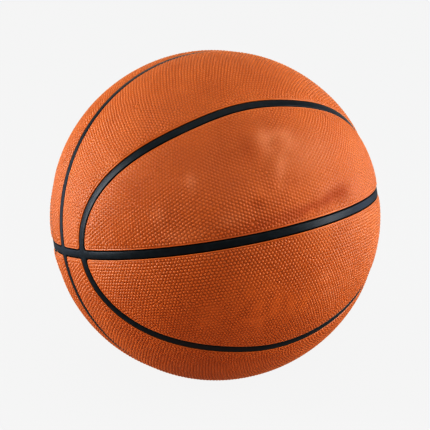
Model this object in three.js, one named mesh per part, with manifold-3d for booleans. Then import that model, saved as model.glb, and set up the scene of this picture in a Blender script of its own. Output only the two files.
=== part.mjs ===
import * as THREE from 'three';
import { mergeVertices } from 'three/addons/utils/BufferGeometryUtils.js';
import Module from 'manifold-3d';

// A full-size basketball that has gone slack, built up in layers as the real ball is: a rubber
// bladder, a winding of thread, a black rubber carcass with raised strips, and eight cover
// panels laid in the fields between the strips. The whole wall follows the dents, and the ball
// stands on the small flat spot that its weight presses into it.
//
// The row frame has its origin in the middle of that flat spot, +Z up, the front towards -Y.
// The seam frame is the ball's own: one seam circle in its XY plane, one in its YZ plane, and
// a closed loop of seam around each end of its X axis.

const BALL_RADIUS = 120;
const REST_SINK = 1.5;

// Depths below the ball's surface. Glue fills the 0.3 mm between one layer and the next.
const BOND_GAP = 0.3;
const COVER_THICKNESS = 1.6;
const STRIP_DEPTH = 0.8;
const CARCASS_OUTSIDE = COVER_THICKNESS + BOND_GAP;
const CARCASS_INSIDE = CARCASS_OUTSIDE + 0.9;
const WINDING_OUTSIDE = CARCASS_INSIDE + BOND_GAP;
const WINDING_INSIDE = WINDING_OUTSIDE + 0.5;
const BLADDER_OUTSIDE = WINDING_INSIDE + BOND_GAP;
const BLADDER_INSIDE = BLADDER_OUTSIDE + 0.9;

// The channel between two panels, and the strip of carcass that stands in it.
const CHANNEL_WIDTH = 6.8;
const STRIP_WIDTH = CHANNEL_WIDTH - 2 * BOND_GAP;

// A loop's angle from the X axis: its mean, its stretch along the XY plane, its squareness.
const LOOP_MEAN = THREE.MathUtils.degToRad(58.4);
const LOOP_STRETCH = THREE.MathUtils.degToRad(14.9);
const LOOP_SQUARENESS = THREE.MathUtils.degToRad(2.6);

// How the seam frame is turned as the ball rests.
const YAW = THREE.MathUtils.degToRad(-66.1);
const PITCH = THREE.MathUtils.degToRad(-12.6);
const ROLL = THREE.MathUtils.degToRad(4.5);

// The valve, through the back of the ball beside a seam.
const VALVE_LATITUDE = THREE.MathUtils.degToRad(12);
const VALVE_RADIUS = 3.1;
const VALVE_RECESS = 0.5;
const VALVE_LENGTH = 12;
const VALVE_FLANGE_RADIUS = 7;
const VALVE_FLANGE_THICKNESS = 1.5;
const VALVE_FLANGE_CLEARANCE = 1.6;
const NEEDLE_RADIUS = 0.9;
const NEEDLE_LEAD_IN = 0.6;
const NEEDLE_DEPTH = 9;

// The dents, all in the front upper panel inside the loop. Each has its middle by longitude and
// latitude in the seam frame, the turn of its length from due east, its half length and half
// width, and its depth. The last one is the low swelling beside the hollow.
const DENTS = [
  { name: 'crease', at: [12, 4.2], turn: 6, halfLength: 34, halfWidth: 8, depth: 2.2 },
  { name: 'crease end', at: [24, 6.4], turn: 0, halfLength: 12, halfWidth: 10, depth: 2.4 },
  { name: 'hollow', at: [-15, 26], turn: 0, halfLength: 24, halfWidth: 22, depth: 2.4 },
  { name: 'swelling', at: [3, 28], turn: -10, halfLength: 16, halfWidth: 16, depth: -1.2 },
];

const SKIN_DETAIL = 7;
const LOOP_STEPS = 18;
const VALVE_SIDES = 16;
const SIDES = [1, -1];

const centre = new THREE.Vector3(0, 0, BALL_RADIUS - REST_SINK);
const seamTurn = new THREE.Quaternion().setFromEuler(new THREE.Euler(ROLL, PITCH, YAW, 'ZYX'));
const rowTurn = seamTurn.clone().invert();
const seamFrame = new THREE.Matrix4().compose(centre, seamTurn, new THREE.Vector3(1, 1, 1));

const wasm = await Module();
wasm.setup();

// Makes a closed geometry a solid that can be joined and cut.
function solid(geometry) {
  geometry.deleteAttribute('normal');
  geometry.deleteAttribute('uv');
  const merged = mergeVertices(geometry);
  return new wasm.Manifold(new wasm.Mesh({
    numProp: 3,
    vertProperties: merged.attributes.position.array,
    triVerts: new Uint32Array(merged.index.array),
  }));
}

// Makes a solid a geometry again.
function geometryOf(shape) {
  const mesh = shape.getMesh();
  const geometry = new THREE.BufferGeometry();
  geometry.setAttribute('position', new THREE.BufferAttribute(mesh.vertProperties, 3));
  geometry.setIndex(new THREE.BufferAttribute(mesh.triVerts, 1));
  geometry.computeVertexNormals();
  return geometry;
}

// How far the dents push the wall in along one direction of the seam frame.
function dentDepth(direction) {
  let depth = 0;
  for (const dent of DENTS) {
    const [longitude, latitude] = dent.at.map(THREE.MathUtils.degToRad);
    const middle = new THREE.Vector3(
      Math.cos(latitude) * Math.cos(longitude),
      Math.cos(latitude) * Math.sin(longitude),
      Math.sin(latitude),
    );
    if (direction.dot(middle) > 0) {
      const along = new THREE.Vector3(-Math.sin(longitude), Math.cos(longitude), 0);
      along.applyAxisAngle(middle, THREE.MathUtils.degToRad(dent.turn));
      const across = new THREE.Vector3().crossVectors(middle, along);
      const u = BALL_RADIUS * direction.dot(along) / dent.halfLength;
      const v = BALL_RADIUS * direction.dot(across) / dent.halfWidth;
      depth += dent.depth * Math.exp(-2 * (u * u + v * v));
    }
  }
  return depth;
}

// The solid inside one layer's surface: the ball, dented, and flat where it rests. Every layer
// is faceted alike, so the layers nest without touching.
function ballTo(depth) {
  const geometry = new THREE.IcosahedronGeometry(1, SKIN_DETAIL);
  const position = geometry.attributes.position;
  const direction = new THREE.Vector3();
  for (let index = 0; index < position.count; index += 1) {
    direction.fromBufferAttribute(position, index).normalize();
    const dent = dentDepth(direction.clone().applyQuaternion(rowTurn));
    direction.multiplyScalar(BALL_RADIUS - depth - dent).add(centre);
    position.setXYZ(index, direction.x, direction.y, direction.z);
  }
  const size = 3 * BALL_RADIUS;
  const above = new THREE.BoxGeometry(size, size, size).translate(0, 0, depth + size / 2);
  return solid(geometry).intersect(solid(above));
}

// The wall between two depths.
function layer(outside, inside) {
  return ballTo(outside).subtract(ballTo(inside));
}

// Half of one seam loop, from one crossing of the XY plane to the other. Its frames keep the
// section square to the ball's surface.
class LoopArc extends THREE.Curve {
  constructor(xSide, zSide) {
    super();
    this.xSide = xSide;
    this.zSide = zSide;
  }

  getPoint(t, target = new THREE.Vector3()) {
    const round = Math.PI * t;
    const squareness = LOOP_SQUARENESS * Math.cos(4 * round);
    const angle = LOOP_MEAN + LOOP_STRETCH * Math.cos(2 * round) + squareness;
    target.x = this.xSide * Math.cos(angle);
    target.y = Math.sin(angle) * Math.cos(round);
    target.z = this.zSide * Math.sin(angle) * Math.sin(round);
    return target.multiplyScalar(BALL_RADIUS);
  }

  computeFrenetFrames(steps) {
    const frames = { tangents: [], normals: [], binormals: [] };
    for (let step = 0; step <= steps; step += 1) {
      const tangent = this.getTangentAt(step / steps);
      const normal = this.getPointAt(step / steps).normalize();
      frames.tangents.push(tangent);
      frames.normals.push(normal);
      frames.binormals.push(new THREE.Vector3().crossVectors(tangent, normal).normalize());
    }
    return frames;
  }
}

// A square bar along half of one loop, reaching from inside the wall to outside the ball.
function loopBar(xSide, zSide, width) {
  const reach = 2 * CARCASS_INSIDE;
  const section = new THREE.Shape([
    new THREE.Vector2(-reach, -width / 2),
    new THREE.Vector2(reach, -width / 2),
    new THREE.Vector2(reach, width / 2),
    new THREE.Vector2(-reach, width / 2),
  ]);
  const path = new LoopArc(xSide, zSide);
  return new THREE.ExtrudeGeometry(section, { steps: LOOP_STEPS, extrudePath: path });
}

// Everything within half a width of a seam: the two circles and the two loops.
function seams(width) {
  const span = 2.2 * BALL_RADIUS;
  const circles = [
    new THREE.BoxGeometry(span, span, width),
    new THREE.BoxGeometry(width, span, span),
  ];
  const bars = SIDES.flatMap((xSide) => SIDES.map((zSide) => loopBar(xSide, zSide, width)));
  return [...circles, ...bars]
    .map((geometry) => solid(geometry.applyMatrix4(seamFrame)))
    .reduce((whole, part) => whole.add(part));
}

// Stands a geometry made along +Y on the valve's axis, with y = 0 at the ball's centre.
function onValveAxis(geometry) {
  const outward = new THREE.Vector3(-Math.cos(VALVE_LATITUDE), 0, Math.sin(VALVE_LATITUDE));
  const turn = new THREE.Quaternion().setFromUnitVectors(new THREE.Vector3(0, 1, 0), outward);
  return geometry.applyQuaternion(turn).applyMatrix4(seamFrame);
}

// The hole that the valve stands in, through every layer.
function valveHole() {
  const radius = VALVE_RADIUS + BOND_GAP;
  const length = 2 * VALVE_LENGTH;
  const hole = new THREE.CylinderGeometry(radius, radius, length, VALVE_SIDES);
  return solid(onValveAxis(hole.translate(0, BALL_RADIUS, 0)));
}

// The valve plug: a shank through the wall, a flange just clear of the bladder's curved inside,
// and a blind hole for the needle with a small lead-in.
function valveGeometry() {
  const top = BALL_RADIUS - VALVE_RECESS;
  const flangeTop = BALL_RADIUS - BLADDER_INSIDE - VALVE_FLANGE_CLEARANCE;
  const flangeFoot = flangeTop - VALVE_FLANGE_THICKNESS;
  const foot = BALL_RADIUS - VALVE_LENGTH;
  const profile = [
    [0, foot],
    [VALVE_RADIUS, foot],
    [VALVE_RADIUS, flangeFoot],
    [VALVE_FLANGE_RADIUS, flangeFoot],
    [VALVE_FLANGE_RADIUS, flangeTop],
    [VALVE_RADIUS, flangeTop],
    [VALVE_RADIUS, top],
    [NEEDLE_RADIUS + NEEDLE_LEAD_IN, top],
    [NEEDLE_RADIUS, top - NEEDLE_LEAD_IN],
    [NEEDLE_RADIUS, top - NEEDLE_DEPTH],
    [0, top - NEEDLE_DEPTH],
  ];
  const points = profile.map(([radius, height]) => new THREE.Vector2(radius, height));
  return geometryOf(solid(onValveAxis(new THREE.LatheGeometry(points, VALVE_SIDES))));
}

// A panel's name from where its middle lies in the seam frame.
function panelName(geometry) {
  const inverse = seamFrame.clone().invert();
  const middle = new THREE.Vector3();
  const point = new THREE.Vector3();
  const position = geometry.attributes.position;
  for (let index = 0; index < position.count; index += 1) {
    middle.add(point.fromBufferAttribute(position, index).applyMatrix4(inverse));
  }
  middle.divideScalar(position.count);
  const side = middle.x > 0 ? 'front' : 'back';
  const ring = Math.abs(middle.x) > BALL_RADIUS / 2 ? 'inner' : 'outer';
  const level = middle.z > 0 ? 'upper' : 'lower';
  return `panel_${side}_${ring}_${level}`;
}

// The pebbled orange cover, cut along the seams into its eight panels.
function coverPanels(hole) {
  const stock = layer(0, COVER_THICKNESS);
  const pieces = stock.subtract(seams(CHANNEL_WIDTH)).subtract(hole).decompose();
  return pieces.map((piece) => {
    const geometry = geometryOf(piece);
    const material = new THREE.MeshStandardMaterial({ color: 0xcd5f2d, roughness: 0.55 });
    const panel = new THREE.Mesh(geometry, material);
    panel.name = panelName(geometry);
    return panel;
  });
}

// The black carcass, with the strips that stand in the channels.
function carcass(hole) {
  const shell = layer(CARCASS_OUTSIDE, CARCASS_INSIDE);
  const stripFoot = (CARCASS_OUTSIDE + CARCASS_INSIDE) / 2;
  const strips = layer(STRIP_DEPTH, stripFoot).intersect(seams(STRIP_WIDTH));
  const geometry = geometryOf(shell.add(strips).subtract(hole));
  const material = new THREE.MeshStandardMaterial({ color: 0x1b1d1f, roughness: 0.45 });
  const mesh = new THREE.Mesh(geometry, material);
  mesh.name = 'carcass';
  return mesh;
}

// The thread wound over the bladder.
function winding(hole) {
  const geometry = geometryOf(layer(WINDING_OUTSIDE, WINDING_INSIDE).subtract(hole));
  const material = new THREE.MeshStandardMaterial({ color: 0xd8d0bd, roughness: 0.8 });
  const mesh = new THREE.Mesh(geometry, material);
  mesh.name = 'winding';
  return mesh;
}

// The rubber bladder that holds the air.
function bladder(hole) {
  const geometry = geometryOf(layer(BLADDER_OUTSIDE, BLADDER_INSIDE).subtract(hole));
  const material = new THREE.MeshStandardMaterial({ color: 0x232325, roughness: 0.6 });
  const mesh = new THREE.Mesh(geometry, material);
  mesh.name = 'bladder';
  return mesh;
}

// The valve plug.
function valve() {
  const material = new THREE.MeshStandardMaterial({ color: 0x2a2a2b, roughness: 0.5 });
  const mesh = new THREE.Mesh(valveGeometry(), material);
  mesh.name = 'valve';
  return mesh;
}

const ball = new THREE.Group();
const hole = valveHole();
ball.add(...coverPanels(hole), carcass(hole), winding(hole), bladder(hole), valve());

export default ball;
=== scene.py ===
"""The looks of a full-size basketball that has gone slack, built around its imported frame.

Lengths are in millimetres until a mesh is written, and then in metres. The seam frame is the
ball's own: one seam circle in its XY plane, one in its YZ plane, and a closed loop of seam
around each end of its X axis. A point is a direction in that frame and a depth below the
ball's surface, so every layer follows the same dents.
"""
import logging
import math
from dataclasses import dataclass
from enum import Enum

import bpy
import numpy as np
from mathutils import Euler, Matrix, Vector
from mathutils.geometry import delaunay_2d_cdt
from mathutils.kdtree import KDTree


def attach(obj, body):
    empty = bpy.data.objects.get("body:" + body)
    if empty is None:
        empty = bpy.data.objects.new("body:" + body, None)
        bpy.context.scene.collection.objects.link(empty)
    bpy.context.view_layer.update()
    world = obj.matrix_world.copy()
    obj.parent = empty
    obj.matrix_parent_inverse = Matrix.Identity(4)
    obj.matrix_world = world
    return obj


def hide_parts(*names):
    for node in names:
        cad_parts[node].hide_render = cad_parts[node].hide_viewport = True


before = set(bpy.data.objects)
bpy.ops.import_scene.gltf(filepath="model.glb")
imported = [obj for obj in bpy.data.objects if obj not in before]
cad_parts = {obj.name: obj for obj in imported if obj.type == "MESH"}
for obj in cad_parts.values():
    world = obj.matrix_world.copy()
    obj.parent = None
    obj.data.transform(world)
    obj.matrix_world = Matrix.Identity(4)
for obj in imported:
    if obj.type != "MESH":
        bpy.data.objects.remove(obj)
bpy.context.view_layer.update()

BODY = "root"
MM = 0.001

# Points that agree to this many decimals, on a ball of radius 1, are one point.
WELD_DECIMALS = 9
# Corners of a flat map that lie closer than this are one corner.
MERGE_REACH = 1e-7
# Rows of evenly staggered points lie this many spaces apart.
ROW_RATIO = math.sqrt(0.75)
# How fast a mark fades. At its half size about a seventh of it is left.
MARK_FADE = 2.0
# The order of columns that exchanges X and Z.
EXCHANGED = [2, 1, 0]

log = logging.getLogger("ball")
Array = np.ndarray


def unit(points: Array) -> Array:
    """Gives each row of x, y and z the length 1."""
    return points / np.linalg.norm(points, axis=-1, keepdims=True)


def resample(line: Array, count: int) -> Array:
    """Walks along an open line in equal steps.

    Args:
        line: the line's points, in order.
        count: how many steps to take.

    Returns:
        The step starts, from the line's first point up to one step before its last.
    """
    steps = np.linalg.norm(np.diff(line, axis=0), axis=1)
    reach = np.concatenate([[0.0], np.cumsum(steps)])
    wanted = np.linspace(0.0, reach[-1], count, endpoint=False)
    return unit(np.stack([np.interp(wanted, reach, line[:, axis]) for axis in range(3)], axis=1))


def length_of(line: Array) -> float:
    """Adds up an open line's steps, in the points' own unit."""
    return float(np.linalg.norm(np.diff(line, axis=0), axis=1).sum())


def scatter(pitch: float, radius: float) -> Array:
    """Spreads points evenly over a whole ball, along one spiral.

    Args:
        pitch: mm between neighbours.
        radius: the ball's radius in mm.

    Returns:
        Unit rows.
    """
    count = round(4.0 * math.pi * radius**2 / (ROW_RATIO * pitch**2))
    height = 1.0 - (2.0 * np.arange(count) + 1.0) / count
    golden_turn = math.pi * (3.0 - math.sqrt(5.0))
    around = golden_turn * np.arange(count)
    reach = np.sqrt(1.0 - height * height)
    return np.stack([reach * np.cos(around), reach * np.sin(around), height], axis=1)


def inside(points: Array, outline: Array) -> Array:
    """Tells which flat points lie inside a closed flat outline.

    Args:
        points: rows of u and v.
        outline: the outline's corners, in order.

    Returns:
        True for each point that is inside.
    """
    ahead = np.roll(outline, -1, axis=0)
    low, high = outline[None, :, 1], ahead[None, :, 1]
    height = points[:, None, 1]
    spans = (low > height) != (high > height)
    rise = np.where(high == low, 1.0, high - low)
    across = outline[None, :, 0] + (height - low) / rise * (ahead - outline)[None, :, 0]
    return (spans & (points[:, None, 0] < across)).sum(axis=1) % 2 == 1


class Field(Enum):
    """Which of the two panel shapes: inside a loop of seam, or between a loop and the YZ circle."""

    INNER = "inner"
    OUTER = "outer"


class Side(Enum):
    """Which end of the seam frame's X axis."""

    FRONT = 1
    BACK = -1


class Level(Enum):
    """Which side of the seam frame's XY circle."""

    UPPER = 1
    LOWER = -1


class Grain(Enum):
    """Which way a panel's rows of pebbles run from its base seam."""

    ALONG = "along"
    ACROSS = "across"


@dataclass(frozen=True)
class Mark:
    """An oval place on the ball.

    Its middle is by longitude and latitude in the seam frame, its half sizes are in mm, and its
    length is turned from due east. The angles are in degrees.
    """

    longitude: float
    latitude: float
    half_length: float
    half_width: float
    amount: float
    turn: float = 0.0

    def strength(self, directions: Array, radius: float) -> Array:
        """Says how strongly the mark acts, fading smoothly from its middle.

        Args:
            directions: unit rows in the seam frame.
            radius: the ball's radius in mm.

        Returns:
            The amount at each direction.
        """
        lon, lat = math.radians(self.longitude), math.radians(self.latitude)
        middle = np.array([math.cos(lat) * math.cos(lon), math.cos(lat) * math.sin(lon), math.sin(lat)])
        east = np.array([-math.sin(lon), math.cos(lon), 0.0])
        north = np.cross(middle, east)
        turn = math.radians(self.turn)
        along = math.cos(turn) * east + math.sin(turn) * north
        across = np.cross(middle, along)
        u = radius * (directions @ along) / self.half_length
        v = radius * (directions @ across) / self.half_width
        return self.amount * np.exp(-MARK_FADE * (u * u + v * v)) * (directions @ middle > 0.0)


@dataclass(frozen=True)
class Ball:
    """The slack ball's own shape: its size, how it lies, its dents and its rest spot.

    A dent's amount is its depth in mm. Those below zero are the low swellings and the ridges that
    stand between the dents. The rest spot is flat, and rest_sink is how far it lies in.
    """

    radius: float = 120.0
    rest_sink: float = 1.5
    yaw: float = math.radians(-66.1)
    pitch: float = math.radians(-12.6)
    roll: float = math.radians(4.5)
    dents: tuple[Mark, ...] = (
        Mark(12.0, 4.2, 34.0, 8.0, 2.2, 6.0),
        Mark(24.0, 6.4, 12.0, 10.0, 2.4),
        Mark(-15.0, 26.0, 24.0, 22.0, 2.4),
        Mark(-2.0, 31.0, 8.0, 14.0, -1.1, -10.0),
        Mark(8.0, 30.0, 10.0, 10.0, -0.8, -10.0),
        Mark(2.0, 21.0, 6.0, 13.0, -0.9, -30.0),
        Mark(-29.0, 22.0, 6.0, 8.0, -0.8),
        Mark(-41.0, 12.0, 6.0, 6.0, -0.7),
        Mark(-8.0, 10.5, 9.0, 6.0, 1.2),
    )

    @property
    def centre(self) -> Array:
        """The ball's centre in the row frame, in mm."""
        return np.array([0.0, 0.0, self.radius - self.rest_sink])

    @property
    def turn(self) -> Array:
        """How the ball lies, turned about X, then Y, then Z.

        Returns:
            The matrix from the seam frame to the row frame.
        """
        rolled = Matrix.Rotation(self.roll, 3, "X")
        pitched = Matrix.Rotation(self.pitch, 3, "Y")
        yawed = Matrix.Rotation(self.yaw, 3, "Z")
        return np.array(yawed @ pitched @ rolled)

    def place(self, directions: Array, depths: Array) -> Array:
        """Puts points on the dented, settled ball.

        Args:
            directions: unit rows in the seam frame.
            depths: mm below the surface, negative where a point stands proud.

        Returns:
            Rows of x, y and z in the row frame, in mm.
        """
        dented = sum(dent.strength(directions, self.radius) for dent in self.dents)
        reach = self.radius - depths - dented
        points = (directions * reach[:, None]) @ self.turn.T + self.centre
        # Each layer flattens over the rest spot at its own depth.
        points[:, 2] = np.maximum(points[:, 2], np.maximum(depths, 0.0))
        return points


@dataclass(frozen=True)
class Seams:
    """Where the seams run. A panel is drawn in its own frame, standing on its base seam.

    An inner panel's frame is the seam frame. An outer panel's has X and Z exchanged, so that
    its base seam, the YZ circle, is again the XY circle. The loop's angle from the X axis is a
    mean, a stretch that makes it oval and a squareness that fills its corners. It is drawn a
    little past both crossings of the base seam, by overrun in radians.
    """

    radius: float = 120.0
    channel_width: float = 6.8
    loop_mean: float = math.radians(58.4)
    loop_stretch: float = math.radians(14.9)
    loop_squareness: float = math.radians(2.6)
    outline_step: float = 1.4
    fine_points: int = 3000
    overrun: float = 0.2
    corner_rounds: int = 2

    def loop(self, offset: float) -> Array:
        """Draws the front loop's upper half, moved sideways over the ball.

        Args:
            offset: mm towards the X axis, negative away from it.

        Returns:
            Directions in the seam frame, a little past both crossings of the XY circle.
        """
        around = np.linspace(-self.overrun, math.pi + self.overrun, self.fine_points)
        stretch = self.loop_stretch * np.cos(2.0 * around)
        squareness = self.loop_squareness * np.cos(4.0 * around)
        angle = self.loop_mean + stretch + squareness
        ring = np.stack([np.cos(around), np.sin(around)], axis=1) * np.sin(angle)[:, None]
        line = np.concatenate([np.cos(angle)[:, None], ring], axis=1)
        ahead = unit(np.gradient(line, axis=0))
        inward = np.cross(line, ahead)
        shift = offset / self.radius
        return unit(math.cos(shift) * line + math.sin(shift) * inward)

    def base_line(self, gap: float, start: float, end: float) -> Array:
        """Draws a line parallel to the base seam.

        Args:
            gap: mm above the base seam's middle.
            start: the first point's longitude, in radians.
            end: the last point's longitude.

        Returns:
            Directions in the panel's frame.
        """
        longitude = np.linspace(start, end, self.fine_points)
        height = gap / self.radius
        reach = math.sqrt(1.0 - height * height)
        flat = np.stack([np.cos(longitude), np.sin(longitude)], axis=1) * reach
        return np.concatenate([flat, np.full((self.fine_points, 1), height)], axis=1)

    def sides(self, shape: Field, inset: float) -> list[Array]:
        """Draws a panel's sides, anticlockwise from its right end as seen from outside.

        Args:
            shape: which panel shape.
            inset: mm in from the panel's edge, negative for out into the channel.

        Returns:
            One open line for each side, in the panel's frame, each ending where the next starts.
        """
        gap = self.channel_width / 2.0 + inset
        height = gap / self.radius
        if shape is Field.INNER:
            top = self.loop(gap)
            top = top[top[:, 2] > height]
            left, right = (math.atan2(end[1], end[0]) for end in (top[-1], top[0]))
            return [top, self.base_line(gap, left, right)]
        top = self.loop(-gap)[:, EXCHANGED]
        top = top[top[:, 0] > height]
        foot = math.asin(height / math.sqrt(1.0 - height * height))
        head = math.atan2(top[0, 2], top[0, 1])
        rising = self.base_line(gap, foot, head)[:, [2, 0, 1]]
        falling = (rising * np.array([1.0, -1.0, 1.0]))[::-1]
        corner = math.pi / 2.0 - foot
        return [rising, top, falling, self.base_line(gap, -corner, corner)]

    def outline(self, shape: Field, inset: float) -> Array:
        """Draws a panel's closed outline, with the same number of points at every inset.

        Args:
            shape: which panel shape.
            inset: mm in from the panel's edge.

        Returns:
            Directions in the panel's frame, anticlockwise seen from outside.
        """
        points = []
        for full, side in zip(self.sides(shape, 0.0), self.sides(shape, inset)):
            count = round(length_of(full) * self.radius / self.outline_step)
            points.append(resample(side, count))
        outline = np.concatenate(points)
        # Each round eases the corners, where the mould's own corners are rounded.
        for _ in range(self.corner_rounds):
            outline = unit(2.0 * outline + np.roll(outline, 1, axis=0) + np.roll(outline, -1, axis=0))
        return outline


@dataclass(frozen=True)
class FlatMap:
    """A flat map of the ball that keeps angles, centred on one direction.

    The usual middle is about the middle of a panel.
    """

    middle: tuple[float, float, float] = (0.927, 0.0, 0.375)

    def flatten(self, directions: Array) -> Array:
        """Maps directions onto the flat.

        Args:
            directions: unit rows in a panel's frame.

        Returns:
            Rows of u and v, u to the right and v up as seen from outside.
        """
        middle = unit(np.array(self.middle))
        right = unit(np.array([-middle[1], middle[0], 0.0]))
        up = np.cross(middle, right)
        scale = 2.0 / (1.0 + directions @ middle)
        return np.stack([directions @ right * scale, directions @ up * scale], axis=1)

    def within(self, directions: Array, outline: Array) -> Array:
        """Tells which directions lie inside a closed outline of directions."""
        return inside(self.flatten(directions), self.flatten(outline))

    def fill(self, outlines: list[Array], seeds: Array) -> Array:
        """Triangulates the ground inside the first outline and outside the others.

        Args:
            outlines: closed outlines, the outer one first, then any holes.
            seeds: directions to use as corners between them.

        Returns:
            Triangles, anticlockwise from outside, that number the outlines' points in order
            and then the seeds.
        """
        flat = self.flatten(np.concatenate([*outlines, seeds]))
        edges, start = [], 0
        for outline in outlines:
            count = len(outline)
            edges += [(start + i, start + (i + 1) % count) for i in range(count)]
            start += count
        corners = [Vector(point) for point in flat.tolist()]
        found = delaunay_2d_cdt(corners, edges, [], 0, MERGE_REACH)
        origin = np.array([sources[0] for sources in found[3]])
        triangles = origin[np.array(found[2])]
        middles = flat[triangles].mean(axis=1)
        kept = inside(middles, self.flatten(outlines[0]))
        for hole in outlines[1:]:
            kept &= ~inside(middles, self.flatten(hole))
        triangles = triangles[kept]
        one, two, three = (flat[triangles[:, corner]] for corner in range(3))
        turned = np.cross(two - one, three - one) < 0.0
        triangles[turned] = triangles[turned][:, ::-1]
        return triangles


class Skin:
    """Points by direction, depth and relief, with the triangles between them."""

    def __init__(self) -> None:
        """Starts an empty skin."""
        self.directions = np.zeros((0, 3))
        self.depths = np.zeros(0)
        self.relief = np.zeros(0)
        self.triangles = np.zeros((0, 3), int)

    def add(self, directions: Array, depth: float, relief: float = 0.0) -> Array:
        """Adds points at one depth.

        Args:
            directions: unit rows.
            depth: mm below the ball's surface.
            relief: mm that the pebbling lifts each point by.

        Returns:
            The new points' numbers.
        """
        start, count = len(self.directions), len(directions)
        self.directions = np.concatenate([self.directions, directions])
        self.depths = np.concatenate([self.depths, np.full(count, depth)])
        self.relief = np.concatenate([self.relief, np.full(count, relief)])
        return np.arange(start, start + count)

    def cover(self, triangles: Array) -> None:
        """Adds triangles, given as rows of three point numbers."""
        self.triangles = np.concatenate([self.triangles, triangles.reshape(-1, 3)])

    def band(self, outer: Array, inner: Array) -> None:
        """Joins two closed rings of as many points by a band.

        Args:
            outer: the outer ring, with the ground that it bounds on its left.
            inner: the next ring inwards.
        """
        ahead, beside = np.roll(outer, -1), np.roll(inner, -1)
        self.cover(np.stack([outer, ahead, inner], axis=1))
        self.cover(np.stack([ahead, beside, inner], axis=1))

    def edge(self, rings: list[tuple[Array, float]]) -> tuple[Array, Array]:
        """Adds a rounded edge as bands between rings.

        Args:
            rings: each ring's directions and depth, from the outermost inwards.

        Returns:
            The first ring's point numbers, and the last ring's.
        """
        first = last = self.add(*rings[0])
        for directions, depth in rings[1:]:
            ring = self.add(directions, depth)
            self.band(last, ring)
            last = ring
        return first, last

    def mirrored(self, signs: tuple[int, int, int], exchanged: bool) -> "Skin":
        """Copies the skin into another quarter of the ball.

        Args:
            signs: the sign to give x, y and z in the seam frame.
            exchanged: whether the skin was drawn with X and Z exchanged.

        Returns:
            The copy, in the seam frame, still facing out.
        """
        copy = Skin()
        directions = self.directions[:, EXCHANGED] if exchanged else self.directions
        copy.directions = directions * np.array(signs)
        copy.depths, copy.relief = self.depths, self.relief
        flips = (np.prod(signs) < 0) != exchanged
        copy.triangles = self.triangles[:, ::-1] if flips else self.triangles
        return copy

    def join(self, other: "Skin") -> None:
        """Adds another skin's points and triangles.

        Args:
            other: the skin to add.
        """
        start = len(self.directions)
        self.directions = np.concatenate([self.directions, other.directions])
        self.depths = np.concatenate([self.depths, other.depths])
        self.relief = np.concatenate([self.relief, other.relief])
        self.cover(other.triangles + start)

    def welded(self) -> "Skin":
        """Merges the points that lie in one place.

        Returns:
            A skin that has each point once.
        """
        keys = np.column_stack([self.directions, self.depths]).round(WELD_DECIMALS) + 0.0
        _, first, number = np.unique(keys, axis=0, return_index=True, return_inverse=True)
        whole = Skin()
        whole.directions = self.directions[first]
        whole.depths, whole.relief = self.depths[first], self.relief[first]
        whole.triangles = number.reshape(-1)[self.triangles]
        return whole


@dataclass(frozen=True)
class ValvePlace:
    """Where the valve goes through the back of the ball, and the hole that it stands in."""

    latitude: float = math.radians(12.0)
    hole_radius: float = 3.4
    hole_points: int = 40

    @property
    def axis(self) -> Array:
        """The valve's direction in the frame of an inner panel, before it is mirrored back."""
        return np.array([math.cos(self.latitude), 0.0, math.sin(self.latitude)])

    def ring(self, clearance: float, radius: float) -> Array:
        """Draws a ring round the hole.

        Args:
            clearance: mm from the hole's wall.
            radius: the ball's radius in mm.

        Returns:
            Directions, clockwise from outside, so that the wall is on their left.
        """
        spread = (self.hole_radius + clearance) / radius
        around = np.linspace(0.0, -2.0 * math.pi, self.hole_points, endpoint=False)[:, None]
        right = np.array([0.0, 1.0, 0.0])
        up = np.cross(self.axis, right)
        sideways = np.cos(around) * right + np.sin(around) * up
        return math.cos(spread) * self.axis + math.sin(spread) * sideways


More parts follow.
